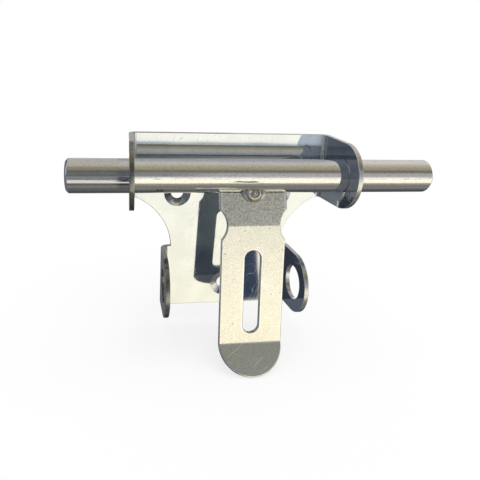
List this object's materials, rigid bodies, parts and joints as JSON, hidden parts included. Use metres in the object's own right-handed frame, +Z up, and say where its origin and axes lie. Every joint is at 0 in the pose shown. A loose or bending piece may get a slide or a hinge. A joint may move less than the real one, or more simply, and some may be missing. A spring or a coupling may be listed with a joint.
{
  "type": "sliding door bolt",
  "caption": "Sliding door bolt: a round rod in a folded sheet bracket, moved by a slotted handle that drops over an ear and is held there by a padlock.",
  "frame": {"origin": "on the door face (the back of the plate), midway between the ears and level with the rod axis", "axes": "+X along the rod, to the right seen from the front; +Y into the door; +Z up"},
  "size_m": [0.1521, 0.0437, 0.0955],
  "materials": {
    "bracket_steel": "polished",
    "rod_steel": "polished",
    "handle_steel": "satin",
    "weld_steel": "satin"
  },
  "bodies": {
    "bracket_body": {"bracket": "bracket_steel"},
    "rod_body": {"bolt_rod": "rod_steel"},
    "handle_body": {"handle": "handle_steel", "weld_bead": "weld_steel"}
  },
  "joints": [
    {"name": "rod_slide", "type": "slide", "parent": "bracket_body", "child": "rod_body", "axis": [1, 0, 0], "range_m": [-0.0343, 0.0247]},
    {"name": "handle_swing", "type": "hinge", "parent": "rod_body", "child": "handle_body", "pos_m": [0.0048, -0.02, 0], "axis": [-1, 0, 0], "range_deg": [-18.5, 175]}
  ]
}
